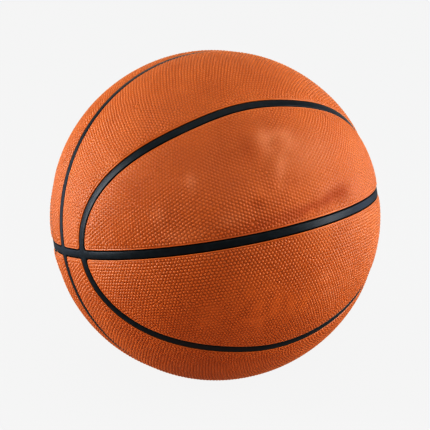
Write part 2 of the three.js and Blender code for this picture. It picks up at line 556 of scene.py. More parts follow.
@dataclass(frozen=True)
class Pebbling:
    """The moulded pebbles: how they stand, and one pebble's section.

    They are as far apart as real ones, and about twice as tall, so that their shade still shows
    when the whole ball is seen.
    """

    # Spaces in mm: along the rim's row, in the field's staggered rows, and from the rim to the
    # rim's row.
    pitch: float = 2.5
    base_pitch: float = 2.64
    first_row: float = 1.1
    # How near the field comes to the rim's row and to the valve, in spaces.
    clearance: float = 0.7
    # One pebble's section in mm: its top, its shoulders as a share of the way out and a lift, and
    # the valley where three pebbles meet.
    crown: float = 0.45
    shoulders: tuple[tuple[float, float], ...] = ((0.56, 0.2),)
    valley: float = -0.72
    # How the rows loosen: the first jolt in spaces, then rounds in which near neighbours push
    # apart until they are a space times the spread away.
    looseness: float = 0.2
    seed: int = 3
    rounds: int = 16
    stiffness: float = 0.22
    neighbours: int = 6
    spread: float = 1.06
    # The rows go up to this latitude, past the top of every panel.
    highest: float = math.pi / 3.0

    def lattice(self, grain: Grain, start: float, radius: float) -> Array:
        """Lays staggered rows along the base seam or across it.

        Args:
            grain: which way the rows run.
            start: mm from the base seam's middle to the first pebble.
            radius: the ball's radius in mm.

        Returns:
            Directions in a panel's frame, over the whole half of the ball above the base seam.
        """
        row_gap = self.base_pitch * ROW_RATIO
        steps = (self.base_pitch, row_gap) if grain is Grain.ALONG else (row_gap, self.base_pitch)
        half_count = int(math.pi / 2.0 * radius / steps[0])
        row_count = int(self.highest * radius / steps[1])
        column, row = np.meshgrid(np.arange(-half_count, half_count + 1), np.arange(row_count))
        column, row = column.ravel().astype(float), row.ravel().astype(float)
        if grain is Grain.ALONG:
            column += 0.5 * (row % 2.0)
        else:
            row += 0.5 * (column % 2.0)
        longitude = column * steps[0] / radius
        latitude = (start + row * steps[1]) / radius
        flat = np.stack([np.cos(longitude), np.sin(longitude)], axis=1) * np.cos(latitude)[:, None]
        return np.concatenate([flat, np.sin(latitude)[:, None]], axis=1)

    def relax(self, fixed: Array, free: Array, radius: float) -> Array:
        """Lets the pebbles find even spaces, as leather grain does round an edge.

        Args:
            fixed: the rows that keep their places.
            free: the pebbles that move.
            radius: the ball's radius in mm.

        Returns:
            The moved pebbles' directions.
        """
        rest = self.spread * self.pitch / radius
        random = np.random.default_rng(self.seed)
        free = unit(free + self.looseness * self.pitch / radius * random.normal(size=free.shape))
        for _ in range(self.rounds):
            everything = np.concatenate([free, fixed])
            tree = KDTree(len(everything))
            for number, point in enumerate(everything.tolist()):
                tree.insert(point, number)
            tree.balance()
            wanted = self.neighbours + 1
            near = np.array([[hit[1] for hit in tree.find_n(point, wanted)] for point in free.tolist()])
            apart = free[:, None] - everything[near[:, 1:]]
            distance = np.linalg.norm(apart, axis=2, keepdims=True)
            push = np.clip(rest - distance, 0.0, rest) * apart / distance
            free = unit(free + self.stiffness * push.sum(axis=1))
        return free


@dataclass(frozen=True)
class PanelPattern:
    """One cover panel as its mould forms it, in the panel's own frame.

    The rim is a list of how far in each ring lies from the panel's edge, and how deep. So is the
    collar, from the wall of the valve's hole. The face rolls down to its edge by roll_depth, over
    a width of about roll_width. The smooth underside has wide-spaced points, looked for as far
    back along X as underside_horizon.
    """

    shape: Field
    seams: Seams = Seams()
    pebbling: Pebbling = Pebbling()
    valve: ValvePlace | None = None
    grain: Grain = Grain.ALONG
    flat: FlatMap = FlatMap()
    rim: tuple[tuple[float, float], ...] = (
        (0.0, 1.6), (0.0, 0.5), (0.08, 0.22), (0.25, 0.06), (0.5, 0.0), (0.85, 0.0),
    )
    roll_depth: float = 0.8
    roll_width: float = 5.0
    collar: tuple[tuple[float, float], ...] = (
        (0.0, 1.6), (0.0, 0.4), (0.12, 0.12), (0.4, 0.0), (1.6, 0.0),
    )
    underside_pitch: float = 9.0
    underside_horizon: float = -0.5

    def seeds(self) -> Array:
        """Places the pebbles.

        Returns:
            Their directions: a row that follows the rim, and then the field inside it.
        """
        pebbling, radius = self.pebbling, self.seams.radius
        row_inset = self.rim[-1][0] + pebbling.first_row
        line = self.seams.outline(self.shape, row_inset)
        line = np.concatenate([line, line[:1]])
        row = resample(line, round(length_of(line) * radius / pebbling.pitch))
        row_gap = pebbling.pitch * ROW_RATIO
        start = self.seams.channel_width / 2.0 + row_inset + row_gap
        clearance = pebbling.clearance * pebbling.pitch
        free = pebbling.lattice(self.grain, start, radius)
        edge = self.seams.outline(self.shape, row_inset + clearance)
        free = free[self.flat.within(free, edge)]
        if self.valve:
            clear = self.valve.hole_radius + self.collar[-1][0] + clearance
            free = free[free @ self.valve.axis < math.cos(clear / radius)]
        return np.concatenate([row, pebbling.relax(row, free, radius)])

    def raise_pebbles(self, skin: Skin, border: Array, triangles: Array, seeds: Array) -> None:
        """Turns a triangulated field into domes that meet in valleys.

        Args:
            skin: the skin to add to.
            border: the numbers of the smooth points round the field.
            triangles: triangles that number the border's points and then the seeds.
            seeds: the pebbles' directions.
        """
        pebbling = self.pebbling
        points = np.concatenate([skin.directions[border], seeds])
        number = np.concatenate([border, skin.add(seeds, 0.0, pebbling.crown)])
        middles = unit(points[triangles].mean(axis=1))
        valleys = skin.add(middles, 0.0, pebbling.valley)
        steps = [number[triangles]]
        for reach, lift in pebbling.shoulders:
            spots = unit((1.0 - reach) * points[triangles] + reach * middles[:, None])
            steps.append(skin.add(spots.reshape(-1, 3), 0.0, lift).reshape(-1, 3))
        steps.append(np.repeat(valleys[:, None], 3, axis=1))

        start, end = triangles.reshape(-1), np.roll(triangles, -1, axis=1).reshape(-1)
        keys, twin_keys = start * len(points) + end, end * len(points) + start
        order = np.argsort(keys)
        found = np.minimum(np.searchsorted(keys[order], twin_keys), len(keys) - 1)
        twin = order[found]
        paired = keys[twin] == twin_keys
        here = np.arange(len(keys))
        there = 3 * (twin // 3) + (twin % 3 + 1) % 3
        is_pebble = start >= len(border)
        steps = [step.reshape(-1) for step in steps]

        # Each dome is laid in slices, from its top down to the valleys of the triangles on both
        # sides of an edge. A smooth point has no dome, and a lone edge only one such triangle.
        dome = paired & is_pebble
        near, far = here[dome], there[dome]
        skin.cover(np.stack([steps[0][near], steps[1][far], steps[1][near]], axis=1))
        for upper, lower in zip(steps[1:-1], steps[2:]):
            skin.cover(np.stack([upper[far], lower[far], lower[near]], axis=1))
            skin.cover(np.stack([upper[far], lower[near], upper[near]], axis=1))
        smooth = paired & ~is_pebble
        near, far = here[smooth], there[smooth]
        skin.cover(np.stack([steps[0][near], steps[-1][far], steps[-1][near]], axis=1))
        lone = here[~paired]
        skin.cover(np.stack([number[start[lone]], number[end[lone]], steps[-1][lone]], axis=1))

    def build(self) -> Skin:
        """Draws the whole panel: rim, pebbled face, hole and underside.

        Returns:
            The closed skin, in the panel's frame.
        """
        skin = Skin()
        rings = [(self.seams.outline(self.shape, inset), depth) for inset, depth in self.rim]
        starts, ends = map(list, zip(skin.edge(rings)))
        if self.valve:
            collar = [(self.valve.ring(inset, self.seams.radius), depth) for inset, depth in self.collar]
            first, last = skin.edge(collar)
            starts.append(first)
            ends.append(last)
        seeds = self.seeds()
        triangles = self.flat.fill([skin.directions[ring] for ring in ends], seeds)
        self.raise_pebbles(skin, np.concatenate(ends), triangles, seeds)

        coarse = scatter(self.underside_pitch, self.seams.radius)
        coarse = coarse[coarse[:, 0] > self.underside_horizon]
        inner_edge = self.seams.outline(self.shape, self.underside_pitch / 2.0)
        coarse = coarse[self.flat.within(coarse, inner_edge)]
        if self.valve:
            clear = self.valve.hole_radius + self.underside_pitch / 2.0
            coarse = coarse[coarse @ self.valve.axis < math.cos(clear / self.seams.radius)]
        triangles = self.flat.fill([skin.directions[ring] for ring in starts], coarse)
        number = np.concatenate([*starts, skin.add(coarse, self.rim[0][1])])
        skin.cover(number[triangles][:, ::-1])
        self.roll_edges(skin)
        return skin

    def roll_edges(self, skin: Skin) -> None:
        """Lets the panel's face dip towards its seams, where the mould pinches it.

        Args:
            skin: the panel's skin, whose depths are changed.
        """
        edge = self.seams.outline(self.shape, 0.0)
        tree = KDTree(len(edge))
        for number, point in enumerate(edge.tolist()):
            tree.insert(point, number)
        tree.balance()
        face = np.flatnonzero(skin.depths < self.rim[0][1])
        apart = np.array([tree.find(point)[2] for point in skin.directions[face].tolist()])
        skin.depths[face] += self.roll_depth * np.exp(-apart * self.seams.radius / self.roll_width)


def write_mesh(name: str, points: Array, triangles: Array, attributes: dict[str, Array]) -> bpy.types.Object:
    """Writes triangles as a smooth-shaded object in the row frame.

    Args:
        name: the object's name.
        points: rows of x, y and z in mm.
        triangles: rows of three point numbers.
        attributes: one number for each point, by attribute name.

    Returns:
        The new object, with only the points that its triangles use.
    """
    used, number = np.unique(triangles, return_inverse=True)
    mesh = bpy.data.meshes.new(name)
    mesh.from_pydata((points[used] * MM).tolist(), [], number.reshape(-1, 3).tolist())
    mesh.polygons.foreach_set("use_smooth", np.ones(len(triangles), bool))
    for title, values in attributes.items():
        layer = mesh.attributes.new(title, "FLOAT", "POINT")
        layer.data.foreach_set("value", values[used].astype(np.float32))
    mesh.update()
    piece = bpy.data.objects.new(name, mesh)
    bpy.context.scene.collection.objects.link(piece)
    return piece


def dress(piece: bpy.types.Object, finish: bpy.types.Material, node: str, slot: str) -> None:
    """Gives a piece its finish, and makes it ride with the ball and stand for its CAD node.

    Args:
        piece: the built object.
        finish: its material.
        node: the CAD node that it replaces.
        slot: the name of its material slot, which is only logged.
    """
    piece.data.materials.append(finish)
    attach(piece, BODY)
    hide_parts(node)
    log.info("%s: %d triangles, finish %s", piece.name, len(piece.data.polygons), slot)


def linear(colour: str) -> tuple[float, float, float, float]:
    """Turns an sRGB hex colour to the linear one that shaders use.

    Args:
        colour: six hex digits.

    Returns:
        Linear red, green and blue, and an alpha of 1.
    """
    parts = [int(colour[start:start + 2], 16) / 255.0 for start in (0, 2, 4)]
    red, green, blue = (c / 12.92 if c <= 0.04045 else ((c + 0.055) / 1.055) ** 2.4 for c in parts)
    return red, green, blue, 1.0


def add_node(tree: bpy.types.NodeTree, kind: str, links: dict[str, object] | None = None,
             **settings: object) -> bpy.types.Node:
    """Adds a shader node with its settings and links.

    Args:
        tree: the node tree.
        kind: the node's type without its ShaderNode prefix.
        links: sockets to link or values to set, by input name or number.
        settings: the node's own properties.

    Returns:
        The new node.
    """
    node = tree.nodes.new("ShaderNode" + kind)
    for name, value in settings.items():
        setattr(node, name, value)
    for name, value in (links or {}).items():
        socket = node.inputs[int(name) if name.isdigit() else name]
        if isinstance(value, bpy.types.NodeSocket):
            tree.links.new(value, socket)
        else:
            socket.default_value = value
    return node


def new_material(name: str) -> tuple[bpy.types.Material, bpy.types.NodeTree, bpy.types.NodeSocket]:
    """Starts a node material.

    Args:
        name: the material's name.

    Returns:
        The material, its emptied tree, and the object coordinates in metres.
    """
    material = bpy.data.materials.new(name)
    material.use_nodes = True
    tree = material.node_tree
    tree.nodes.clear()
    coordinates = add_node(tree, "TexCoord").outputs["Object"]
    return material, tree, coordinates


def per_metre(size: float) -> float:
    """Turns the size of a pattern's feature in mm into a texture scale, features for each metre."""
    return 1.0 / (size * MM)


@dataclass(frozen=True)
class Grit:
    """A soft random pattern: one feature's size in mm, its finer layers and how strong they are."""

    size: float
    layers: float
    strength: float

    def sockets(self, place: bpy.types.NodeSocket) -> dict[str, object]:
        """Gives what a noise node's sockets take."""
        return {"Vector": place, "Scale": per_metre(self.size), "Detail": self.layers,
                "Roughness": self.strength}


@dataclass(frozen=True)
class PebbledRubber:
    """Composite rubber pressed in a pebbled mould, which gives a warm orange satin face.

    Its tone drifts in soft clouds with small deeper specks, and painted shade, with some dust, makes
    the valleys between the pebbles dark. A fine bloom lightens it where it is seen edge on. Painted
    shade in the dents makes it darker and duller, and painted highlights lighten it in patches,
    mostly on the swellings between the dents.
    """

    name: str = "moulded_pebbled_rubber"
    base: str = "be6826"
    light: str = "c97330"
    deep: str = "9c4c1a"
    # The colour of the valleys' painted shade, with some dust.
    valley: str = "6c2406"
    # The colours of the painted shade in the dents and of the painted highlights.
    dirt: str = "9c4408"
    painted_highlight_tone: str = "dc9468"
    roughness: float = 0.4
    gloss_spread: tuple[float, float] = (-0.06, 0.08)
    dent_shade_roughness: float = 0.8
    ior: float = 1.52
    bloom: float = 0.2
    bloom_roughness: float = 0.45
    bloom_tint: str = "ffe6d0"
    clouds: Grit = Grit(34.0, 3.0, 0.5)
    cloud_range: tuple[float, float] = (0.3, 0.72)
    # The real specks are about 0.2 mm across, and are drawn coarser to show.
    specks: Grit = Grit(1.1, 2.0, 0.6)
    speck_range: tuple[float, float] = (0.5, 0.8)
    most_speck: float = 0.35
    # The share of a pebble's height where the valleys' painted shade and dust begin, and how dark they are
    # at the bottom.
    shade_and_dust_line: float = 0.55
    most_shade_and_dust: float = 0.28
    # The grain of the blasted mould is about 0.05 mm across, and is drawn coarser to show.
    grain: Grit = Grit(0.35, 2.0, 0.55)
    grain_height: float = 0.02
    grain_depth: float = 0.6

    def make(self) -> bpy.types.Material:
        """Builds the material.

        Returns:
            The finished node material.
        """
        material, tree, place = new_material(self.name)
        clouds = add_node(tree, "TexNoise", self.clouds.sockets(place))
        tone = add_node(tree, "ValToRGB", {"Fac": clouds.outputs["Fac"]})
        stops = zip(tone.color_ramp.elements, self.cloud_range, (self.base, self.light))
        for stop, position, colour in stops:
            stop.position = position
            stop.color = linear(colour)
        specks = add_node(tree, "TexNoise", self.specks.sockets(place))
        speck_start, speck_end = self.speck_range
        speck_amount = add_node(tree, "MapRange", {"Value": specks.outputs["Fac"],
                                                   "From Min": speck_start,
                                                   "From Max": speck_end,
                                                   "To Max": self.most_speck})
        speckled = add_node(tree, "Mix", {"0": speck_amount.outputs["Result"],
                                          "6": tone.outputs["Color"], "7": linear(self.deep)},
                            data_type="RGBA")
        # Painted shade, with some dust, darkens the valleys between the pebbles by their height.
        relief = add_node(tree, "Attribute", attribute_name="relief")
        valley_shade_and_dust = add_node(tree, "MapRange", {"Value": relief.outputs["Fac"],
                                             "From Min": self.shade_and_dust_line, "From Max": 0.0,
                                             "To Max": self.most_shade_and_dust})
        shaded = add_node(tree, "Mix", {"0": valley_shade_and_dust.outputs["Result"],
                                        "6": speckled.outputs[2], "7": linear(self.valley)},
                          data_type="RGBA")
        # Painted shade in the dents, then painted highlights in pale patches.
        for attribute, colour in (("dirt", self.dirt), ("rub", self.painted_highlight_tone)):
            amount = add_node(tree, "Attribute", attribute_name=attribute)
            shaded = add_node(tree, "Mix", {"0": amount.outputs["Fac"], "6": shaded.outputs[2],
                                            "7": linear(colour)}, data_type="RGBA")
        least, most = self.gloss_spread
        gloss = add_node(tree, "MapRange", {"Value": clouds.outputs["Fac"],
                                            "To Min": self.roughness + least,
                                            "To Max": self.roughness + most})
        # The painted dent shade is also made rougher.
        dirt = add_node(tree, "Attribute", attribute_name="dirt")
        dulled = add_node(tree, "Mix", {"0": dirt.outputs["Fac"], "2": gloss.outputs["Result"],
                                        "3": self.dent_shade_roughness})
        grain = add_node(tree, "TexNoise", self.grain.sockets(place))
        bump = add_node(tree, "Bump", {"Height": grain.outputs["Fac"],
                                       "Strength": self.grain_depth,
                                       "Distance": self.grain_height * MM})
        surface = add_node(tree, "BsdfPrincipled", {"Base Color": shaded.outputs[2],
                                                    "Roughness": dulled.outputs[0],
                                                    "IOR": self.ior,
                                                    "Sheen Weight": self.bloom,
                                                    "Sheen Roughness": self.bloom_roughness,
                                                    "Sheen Tint": linear(self.bloom_tint),
                                                    "Normal": bump.outputs["Normal"]})
        add_node(tree, "OutputMaterial", {"Surface": surface.outputs["BSDF"]})
        return material


@dataclass(frozen=True)
class SatinRubber:
    """Black carbon-filled rubber from a polished mould, which gives a dark satin face.

    Faint paler scuffs soften the sheen. The usual values are the carcass's and its strips'.
    """

    name: str = "smooth_black_rubber"
    base: str = "1c2428"
    scuff: str = "2a3338"
    roughness: float = 0.38
    gloss_spread: tuple[float, float] = (-0.05, 0.1)
    ior: float = 1.52
    specular_level: float = 0.3
    scuffs: Grit = Grit(5.0, 4.0, 0.6)
    scuff_range: tuple[float, float] = (0.45, 0.85)
    # The grain of the mould is about 0.05 mm across, and is drawn coarser to show.
    grain: Grit = Grit(0.5, 2.0, 0.5)
    grain_height: float = 0.012
    grain_depth: float = 0.4

    def make(self) -> bpy.types.Material:
        """Builds the material.

        Returns:
            The finished node material.
        """
        material, tree, place = new_material(self.name)
        scuffs = add_node(tree, "TexNoise", self.scuffs.sockets(place))
        scuff_start, scuff_end = self.scuff_range
        amount = add_node(tree, "MapRange", {"Value": scuffs.outputs["Fac"],
                                             "From Min": scuff_start, "From Max": scuff_end})
        tone = add_node(tree, "Mix", {"0": amount.outputs["Result"], "6": linear(self.base),
                                      "7": linear(self.scuff)}, data_type="RGBA")
        least, most = self.gloss_spread
        gloss = add_node(tree, "MapRange", {"Value": scuffs.outputs["Fac"],
                                            "To Min": self.roughness + least,
                                            "To Max": self.roughness + most})
        grain = add_node(tree, "TexNoise", self.grain.sockets(place))
        bump = add_node(tree, "Bump", {"Height": grain.outputs["Fac"],
                                       "Strength": self.grain_depth,
                                       "Distance": self.grain_height * MM})
        surface = add_node(tree, "BsdfPrincipled", {"Base Color": tone.outputs[2],
                                                    "Roughness": gloss.outputs["Result"],
                                                    "IOR": self.ior,
                                                    "Specular IOR Level": self.specular_level,
                                                    "Normal": bump.outputs["Normal"]})
        add_node(tree, "OutputMaterial", {"Surface": surface.outputs["BSDF"]})
        return material


# Soft butyl rubber, dipped or blown: duller than the carcass, in broad uneven shades.
BLADDER_RUBBER = SatinRubber("butyl_bladder_rubber", "232426", "34363a", roughness=0.56,
                             scuffs=Grit(14.0, 4.0, 0.6))
# Harder rubber pressed in a small mould: a little dull, with close fine marks.
VALVE_RUBBER = SatinRubber("moulded_valve_rubber", "2b2b2a", "3c3b38", roughness=0.5,
                           scuffs=Grit(2.0, 4.0, 0.6))


@dataclass(frozen=True)
class WoundThread:
    """Twisted nylon thread wound over and over, which gives pale lines that cross at every angle."""

    name: str = "wound_nylon_thread"
    thread: str = "d9d1bf"
    gap: str = "8f8775"
    # The real thread is about 0.3 mm thick, and is drawn coarser to show.
    thread_width: float = 0.9
    thread_height: float = 0.2
    # The wave node draws this many lines for each unit of its scale.
    lines_per_unit: float = 6.0
    wander: float = 0.6
    wander_layers: float = 1.0
    depth: float = 0.8
    roughness: float = 0.62
    # How each layer of turns is tilted, in radians about X, Y and Z.
    tilts: tuple[tuple[float, float, float], ...] = (
        (0.0, 0.0, 0.4), (0.9, 1.17, 0.4), (1.9, 2.47, 0.4),
    )

    def make(self) -> bpy.types.Material:
        """Builds the material.

        Returns:
            The finished node material.
        """
        material, tree, place = new_material(self.name)
        height = None
        for tilt in self.tilts:
            turned = add_node(tree, "Mapping", {"Vector": place, "Rotation": tilt})
            scale = per_metre(self.thread_width) / self.lines_per_unit
            waves = add_node(tree, "TexWave", {"Vector": turned.outputs["Vector"], "Scale": scale,
                                               "Distortion": self.wander,
                                               "Detail": self.wander_layers})
            if height is None:
                height = waves.outputs["Fac"]
            else:
                height = add_node(tree, "Math", {"0": height, "1": waves.outputs["Fac"]},
                                  operation="MAXIMUM").outputs["Value"]
        tone = add_node(tree, "Mix", {"0": height, "6": linear(self.gap), "7": linear(self.thread)},
                        data_type="RGBA")
        bump = add_node(tree, "Bump", {"Height": height, "Strength": self.depth,
                                       "Distance": self.thread_height * MM})
        surface = add_node(tree, "BsdfPrincipled", {"Base Color": tone.outputs[2],
                                                    "Roughness": self.roughness,
                                                    "Normal": bump.outputs["Normal"]})
        add_node(tree, "OutputMaterial", {"Surface": surface.outputs["BSDF"]})
        return material


@dataclass(frozen=True)
class PaintedLight:
    """Painted shade in the dents, and painted highlights in pale patches, mostly on the swellings
    between the dents.

    A mark's amount is the share of its painted colour that the surface takes there.
    """

    # Painted shade along the dents and creases.
    dirt: tuple[Mark, ...] = (
        Mark(29.0, 7.4, 10.0, 9.0, 0.4),
        Mark(22.0, 7.0, 16.0, 8.0, 0.65, 7.0),
        Mark(11.0, 5.4, 24.0, 7.0, 0.55, 7.0),
        Mark(-6.0, 4.2, 36.0, 7.0, 0.35, 5.0),
        Mark(-5.5, 30.0, 8.0, 15.0, 0.2),
        Mark(7.0, 16.0, 13.0, 8.0, 0.2),
        Mark(-8.0, 11.0, 9.0, 5.0, 0.2),
    )
    # Painted highlights in pale patches, mostly on the swellings and ridges between the dents.
    painted_highlights: tuple[Mark, ...] = (
        Mark(2.5, 31.0, 8.0, 14.0, 0.5, -10.0),
        Mark(7.0, 33.0, 18.0, 6.0, 0.3),
        Mark(12.0, 30.0, 10.0, 10.0, 0.4),
        Mark(5.0, 22.0, 6.0, 16.0, 0.4, -30.0),
        Mark(18.0, 24.0, 36.0, 22.0, 0.3),
        Mark(-28.5, 22.0, 6.0, 9.0, 0.35),
        Mark(-41.0, 12.0, 8.0, 9.0, 0.25),
        Mark(-34.0, 4.5, 22.0, 8.0, 0.25),
        Mark(-17.0, 8.0, 12.0, 8.0, 0.2),
        Mark(16.0, -19.0, 7.0, 6.0, 0.25),
        Mark(19.0, -26.0, 10.0, 6.0, 0.2),
    )

    def amounts(self, directions: Array, radius: float) -> dict[str, Array]:
        """Says how much painted shade and painted highlight the cover takes.

        Args:
            directions: unit rows in the seam frame.
            radius: the ball's radius in mm.

        Returns:
            "dirt" and "rub" at each direction, from 0 to 1.
        """
        dirt = sum(mark.strength(directions, radius) for mark in self.dirt)
        rub = sum(mark.strength(directions, radius) for mark in self.painted_highlights)
        return {"dirt": np.clip(dirt, 0.0, 1.0), "rub": np.clip(rub, 0.0, 1.0)}


@dataclass(frozen=True)
class Wear:
    """Where the pebbles have lost their height: worn patches, and soft general wear.

    A patch's amount is the share of the height that is gone. A patch breaks up into blotches, and
    the general wear comes and goes in wide waves. For the valleys' painted shade, a pebble that is
    pressed flat counts as standing at worn_level, in mm from the smooth face.
    """

    patches: tuple[Mark, ...] = (
        Mark(-20.0, 24.0, 26.0, 18.0, 0.12),
        Mark(-2.0, 14.0, 26.0, 12.0, 0.35),
        Mark(16.0, 6.5, 34.0, 9.0, 0.35, 6.0),
        Mark(-12.0, -28.0, 60.0, 34.0, 0.45),
    )
    worn_level: float = -0.2
    general: float = 0.1
    general_size: float = 30.0
    blotch_size: float = 11.0
    blotch_share: float = 0.55
    waves: int = 24
    seed: int = 7

    def ripple(self, directions: Array, size: float, radius: float, seed: int) -> Array:
        """Makes a smooth random pattern out of waves in every direction.

        Args:
            directions: unit rows in the seam frame.
            size: mm from crest to crest.
            radius: the ball's radius in mm.
            seed: the pattern's number.

        Returns:
            About -1 to 1 at each direction.
        """
        random = np.random.default_rng(seed)
        vectors = unit(random.normal(size=(self.waves, 3))) * 2.0 * math.pi * radius / size
        phases = random.uniform(0.0, 2.0 * math.pi, self.waves)
        return np.cos(directions @ vectors.T + phases).sum(axis=1) / math.sqrt(self.waves)

    def kept(self, directions: Array, radius: float) -> Array:
        """Says how much of the pebbles' height is left.

        Args:
            directions: unit rows in the seam frame.
            radius: the ball's radius in mm.

        Returns:
            From 0, pressed flat, to 1, as moulded, at each direction.
        """
        patches = sum(patch.strength(directions, radius) for patch in self.patches)
        blotches = self.ripple(directions, self.blotch_size, radius, self.seed)
        wide = self.ripple(directions, self.general_size, radius, self.seed + 1)
        general = self.general * (1.0 + wide) / 2.0
        worn = patches * (1.0 + self.blotch_share * blotches) + general
        return np.clip(1.0 - worn, 0.0, 1.0)


@dataclass(frozen=True)
class CoverPanel:
    """One orange cover panel."""

    shape: Field
    side: Side
    level: Level

    @property
    def node(self) -> str:
        """The panel's CAD node."""
        return f"panel_{self.side.name}_{self.shape.value}_{self.level.name}".lower()

    def build(self, pattern: Skin, ball: Ball, wear: Wear, painted_light: PaintedLight) -> bpy.types.Object:
        """Lays the moulded panel on the ball.

        Args:
            pattern: the panel's skin, in its own frame.
            ball: the ball's shape.
            wear: where the pebbles are pressed flat.
            painted_light: the painted shade and painted highlights on the cover.

        Returns:
            The panel's object.
        """
        signs = (self.side.value, 1, self.level.value)
        skin = pattern.mirrored(signs, self.shape is Field.OUTER)
        kept = wear.kept(skin.directions, ball.radius)
        points = ball.place(skin.directions, skin.depths - skin.relief * kept)
        # Height for the valleys' painted shade and dust, from 0 in a valley to 1 on a crown and on the
        # smooth rim.
        tallest, lowest = skin.relief.max(), skin.relief.min()
        lift = skin.relief * kept + (1.0 - kept) * wear.worn_level
        relief = (np.where(skin.relief == 0.0, tallest, lift) - lowest) / (tallest - lowest)
        attributes = {"relief": relief} | painted_light.amounts(skin.directions, ball.radius)
        return write_mesh(self.node + "_cover", points, skin.triangles, attributes)


@dataclass(frozen=True)
class Shell:
    """A plain layer of the wall, with the valve's hole through it.

    Its faces are by depth in mm below the ball's surface. Its points are seed_pitch apart, and
    keep a share of that, seed_clearance, from the hole.
    """

    outside: float
    inside: float
    valve: ValvePlace = ValvePlace()
    seed_pitch: float = 5.0
    seed_clearance: float = 0.5

    def surface(self, depth: float, radius: float, outward: bool) -> Skin:
        """Draws one face of the layer. It is mapped flat from the middle of the hole.

        Args:
            depth: mm below the ball's surface.
            radius: the ball's radius in mm.
            outward: whether the face looks out.

        Returns:
            The skin, with the hole in front.
        """
        ring = self.valve.ring(0.0, radius)
        seeds = scatter(self.seed_pitch, radius)
        clear = (self.valve.hole_radius + self.seed_clearance * self.seed_pitch) / radius
        seeds = seeds[seeds @ self.valve.axis < math.cos(clear)]
        skin = Skin()
        number = skin.add(np.concatenate([ring, seeds]), depth)
        triangles = number[FlatMap(tuple(-self.valve.axis)).fill([ring], seeds)]
        skin.cover(triangles if outward else triangles[:, ::-1])
        return skin

    def draw(self, radius: float) -> Skin:
        """Draws the closed layer, with its hole at the back as on the ball.

        Args:
            radius: the ball's radius in mm.

        Returns:
            The skin in the seam frame.
        """
        skin = self.surface(self.outside, radius, True)
        skin.join(self.surface(self.inside, radius, False))
        ring = self.valve.ring(0.0, radius)
        skin.edge([(ring, self.inside), (ring, self.outside)])
        return skin.mirrored((-1, 1, 1), False).welded()

    def build(self, name: str, ball: Ball) -> bpy.types.Object:
        """Makes the layer's object on the ball, under the name given."""
        skin = self.draw(ball.radius)
        return write_mesh(name, ball.place(skin.directions, skin.depths), skin.triangles, {})


@dataclass(frozen=True)
class Carcass:
    """The black rubber carcass, with the strips that stand in the channels between panels.

    A strip's edge is a list of how far each ring lies in from the panel's edge, and how deep. It
    leaves a fine groove beside each panel. The fields under the panels have wide-spaced points,
    looked for as far back along X and Z as seed_horizon.
    """

    seams: Seams = Seams()
    valve: ValvePlace = ValvePlace()
    inside: float = 2.8
    strip_edge: tuple[tuple[float, float], ...] = (
        (-1.15, 0.8), (-0.9, 0.85), (-0.7, 1.15), (-0.6, 1.9),
    )
    edge_points: int = 180
    strip_seed_pitch: float = 1.6
    seed_pitch: float = 6.0
    seed_clearance: float = 0.4
    seed_horizon: float = -0.1
    quarter_middle: tuple[float, float, float] = (1.0, 0.0, 1.0)

    def border(self) -> Array:
        """Draws the edge of a quarter of the ball, above the XY circle and before the YZ one.

        Returns:
            Directions in the seam frame, anticlockwise from outside.
        """
        half_turn = np.linspace(-math.pi / 2.0, math.pi / 2.0, self.edge_points, endpoint=False)
        sine, cosine, nothing = np.sin(half_turn), np.cos(half_turn), np.zeros(self.edge_points)
        # The first point lies on the YZ circle exactly, so that the quarters weld there.
        cosine[0] = 0.0
        below = np.stack([cosine, sine, nothing], axis=1)
        above = np.stack([nothing, -sine, cosine], axis=1)
        return np.concatenate([below, above])

    def outline(self, shape: Field, inset: float) -> Array:
        """Draws a panel's outline in the seam frame, inset by mm, anticlockwise from outside."""
        line = self.seams.outline(shape, inset)
        return line if shape is Field.INNER else line[::-1, EXCHANGED]

    def quarter(self, has_valve: bool) -> Skin:
        """Draws a quarter of the outer face: strips, their edges, and the fields between.

        Args:
            has_valve: whether the valve goes through this quarter.

        Returns:
            The skin, in front and above.
        """
        flat, radius = FlatMap(self.quarter_middle), self.seams.radius
        skin = Skin()
        border = skin.add(self.border(), self.strip_edge[0][1])
        outlines, numbers = [skin.directions[border]], [border]
        for shape in Field:
            rings = [(self.outline(shape, inset), depth) for inset, depth in self.strip_edge]
            first, last = skin.edge(rings)
            outlines.append(skin.directions[first])
            numbers.append(first)
            field_outlines, field_numbers = [skin.directions[last]], [last]
            places = scatter(self.seed_pitch, radius)
            ahead = (places[:, 0] > self.seed_horizon) & (places[:, 2] > self.seed_horizon)
            places = places[ahead]
            clearance = self.seed_clearance * self.seed_pitch
            places = places[flat.within(places, self.outline(shape, clearance))]
            if has_valve and shape is Field.INNER:
                ring = self.valve.ring(0.0, radius)
                _, top = skin.edge([(ring, self.inside), (ring, self.strip_edge[-1][1])])
                field_outlines.append(ring)
                field_numbers.append(top)
                clear = (self.valve.hole_radius + clearance) / radius
                places = places[places @ self.valve.axis < math.cos(clear)]
            field_numbers.append(skin.add(places, self.strip_edge[-1][1]))
            skin.cover(np.concatenate(field_numbers)[flat.fill(field_outlines, places)])
        middle = self.seams.loop(0.0)
        middle = middle[middle[:, 2] > self.strip_seed_pitch / radius]
        middle = resample(middle, round(length_of(middle) * radius / self.strip_seed_pitch))
        numbers.append(skin.add(middle, self.strip_edge[0][1]))
        skin.cover(np.concatenate(numbers)[flat.fill(outlines, middle)])
        return skin

    def build(self, ball: Ball) -> bpy.types.Object:
        """Makes the carcass's object.

        Args:
            ball: the ball's shape.

        Returns:
            The object.
        """
        plain, holed = self.quarter(False), self.quarter(True)
        whole = Shell(self.inside, self.inside, self.valve).surface(self.inside, ball.radius, False)
        whole = whole.mirrored((-1, 1, 1), False)
        for side in Side:
            for level in Level:
                has_valve = side is Side.BACK and level is Level.UPPER
                quarter = holed if has_valve else plain
                whole.join(quarter.mirrored((side.value, 1, level.value), False))
        whole = whole.welded()
        points = ball.place(whole.directions, whole.depths)
        return write_mesh("carcass_with_strips", points, whole.triangles, {})


